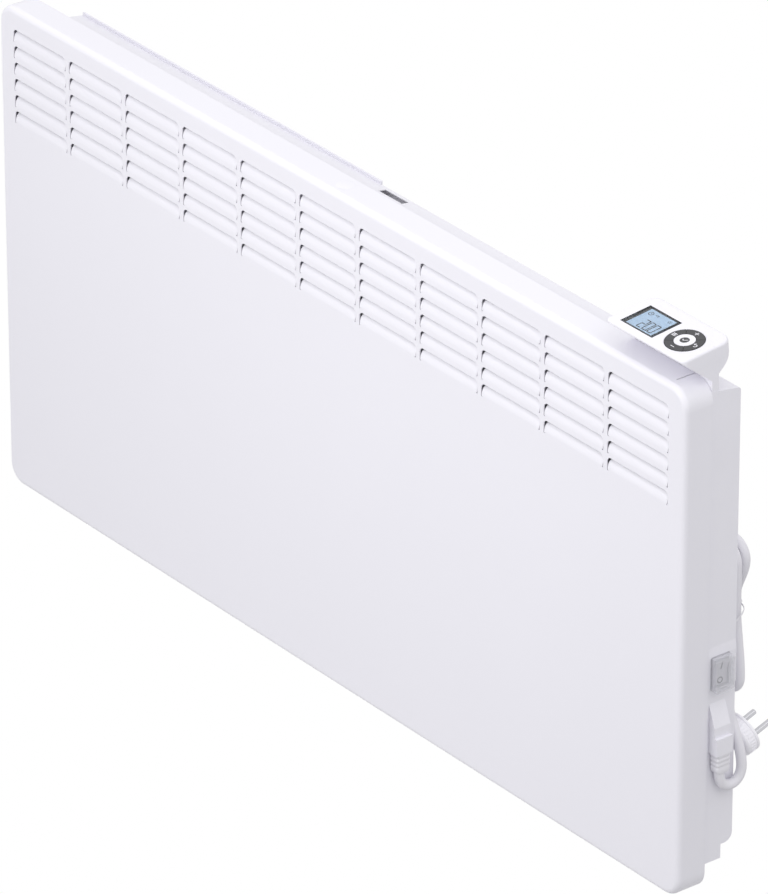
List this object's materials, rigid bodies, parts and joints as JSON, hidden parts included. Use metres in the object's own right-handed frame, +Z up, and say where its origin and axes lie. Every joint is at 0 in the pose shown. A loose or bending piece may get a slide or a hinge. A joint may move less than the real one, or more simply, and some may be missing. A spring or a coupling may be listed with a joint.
{
  "type": "wall panel convector heater",
  "caption": "White wall-hung panel convector heater with louvred air outlet, raised control head, side rocker switch, wall bracket and a tied hank of cord with plug.",
  "frame": {"origin": "on the wall, in the middle of the wall bracket's four screw holes", "axes": "+X to the viewer's right along the panel, +Y into the wall, +Z up"},
  "size_m": [0.9024, 0.1013, 0.4806],
  "materials": {
    "white_paint": "satin white powder coat",
    "white_plastic": "fine matt moulded plastic",
    "rear_paint": "satin white paint",
    "galvanised": "galvanised sheet",
    "screw_steel": "zinc plated",
    "dark_keys": "matt dark grey",
    "white_key": "matt white",
    "display_cover": "clear acrylic",
    "display_mask": "dark gloss print",
    "lcd": "pale blue backlit",
    "board_green": "solder resist",
    "mat_rubber": "silicone",
    "ribbon": "flat cable insulation",
    "switch_grey": "matt grey",
    "switch_cover": "clear soft cap",
    "catch_plastic": "acetal",
    "cord_jacket": "matt white jacket",
    "tie_plastic": "nylon",
    "plug_plastic": "matt white moulding",
    "plug_metal": "nickel plated",
    "element_aluminium": "extruded",
    "tube_steel": "annealed sheath",
    "ceramic": "steatite",
    "cutout_body": "phenolic",
    "wire_silicone": "silicone insulation",
    "relay_black": "moulded",
    "sink_aluminium": "anodised",
    "capacitor_blue": "sleeve",
    "terminal_white": "polyamide"
  },
  "bodies": {
    "heater": {"capacitor": "capacitor_blue", "casing_screws": "screw_steel", "control_board": "board_green", "control_board_screws": "screw_steel", "cord_clamp": "cord_jacket", "cord_hank": "cord_jacket", "cord_inlet_housing": "white_plastic", "cord_inlet_screws": "screw_steel", "cord_tie": "tie_plastic", "display_frame": "display_mask", "display_window": "display_cover", "electronics_housing": "white_plastic", "element_bracket_left": "galvanised", "element_bracket_right": "galvanised", "element_bushes": "ceramic", "element_leads": "wire_silicone", "element_tube": "tube_steel", "front_casing": "white_paint", "head_lower_shell": "white_plastic", "head_upper_shell": "white_plastic", "heat_shield": "galvanised", "heat_sink": "sink_aluminium", "heating_element": "element_aluminium", "inlet_grille": "rear_paint", "key_mat": "mat_rubber", "lcd_module": "lcd", "lead_grommets": "mat_rubber", "mains_leads": "wire_silicone", "partition": "galvanised", "plug_body": "plug_plastic", "plug_lead": "cord_jacket", "plug_pins": "plug_metal", "power_board": "board_green", "power_board_screws": "screw_steel", "power_relay": "relay_black", "rear_casing": "rear_paint", "ribbon_cable": "ribbon", "room_sensor": "ceramic", "safety_cutout": "cutout_body", "sensor_lead": "wire_silicone", "supply_cord": "cord_jacket", "switch_body": "switch_grey", "switch_cover": "switch_cover", "switch_leads": "wire_silicone", "terminal_block": "terminal_white", "wall_bracket": "rear_paint"},
    "rocker": {"switch_rocker": "switch_grey"},
    "plus_key": {"key_plus": "dark_keys"},
    "minus_key": {"key_minus": "dark_keys"},
    "menu_key": {"key_menu": "dark_keys"},
    "back_key": {"key_back": "dark_keys"},
    "ok_key": {"key_ok": "white_key", "ok_inlay": "dark_keys"},
    "catch": {"bracket_catch": "catch_plastic"}
  },
  "joints": [
    {"name": "switch_rock", "type": "hinge", "parent": "heater", "child": "rocker", "pos_m": [0.441, -0.0603, -0.0313], "axis": [0, -1, 0], "range_deg": [0, 16]},
    {"name": "plus_press", "type": "slide", "parent": "heater", "child": "plus_key", "axis": [0, 0.1011, -0.9949], "range_m": [0, 0.0006], "stiffness_N_per_m": 600, "springref_m": -0.0003},
    {"name": "minus_press", "type": "slide", "parent": "heater", "child": "minus_key", "axis": [0, 0.1011, -0.9949], "range_m": [0, 0.0006], "stiffness_N_per_m": 600, "springref_m": -0.0003},
    {"name": "menu_press", "type": "slide", "parent": "heater", "child": "menu_key", "axis": [0, 0.1011, -0.9949], "range_m": [0, 0.0006], "stiffness_N_per_m": 600, "springref_m": -0.0003},
    {"name": "back_press", "type": "slide", "parent": "heater", "child": "back_key", "axis": [0, 0.1011, -0.9949], "range_m": [0, 0.0006], "stiffness_N_per_m": 600, "springref_m": -0.0003},
    {"name": "ok_press", "type": "slide", "parent": "heater", "child": "ok_key", "axis": [0, 0.1011, -0.9949], "range_m": [0, 0.0006], "stiffness_N_per_m": 600, "springref_m": -0.0003},
    {"name": "catch_press", "type": "slide", "parent": "heater", "child": "catch", "axis": [0, 0, -1], "range_m": [0, 0.01], "stiffness_N_per_m": 400, "springref_m": -0.003}
  ]
}
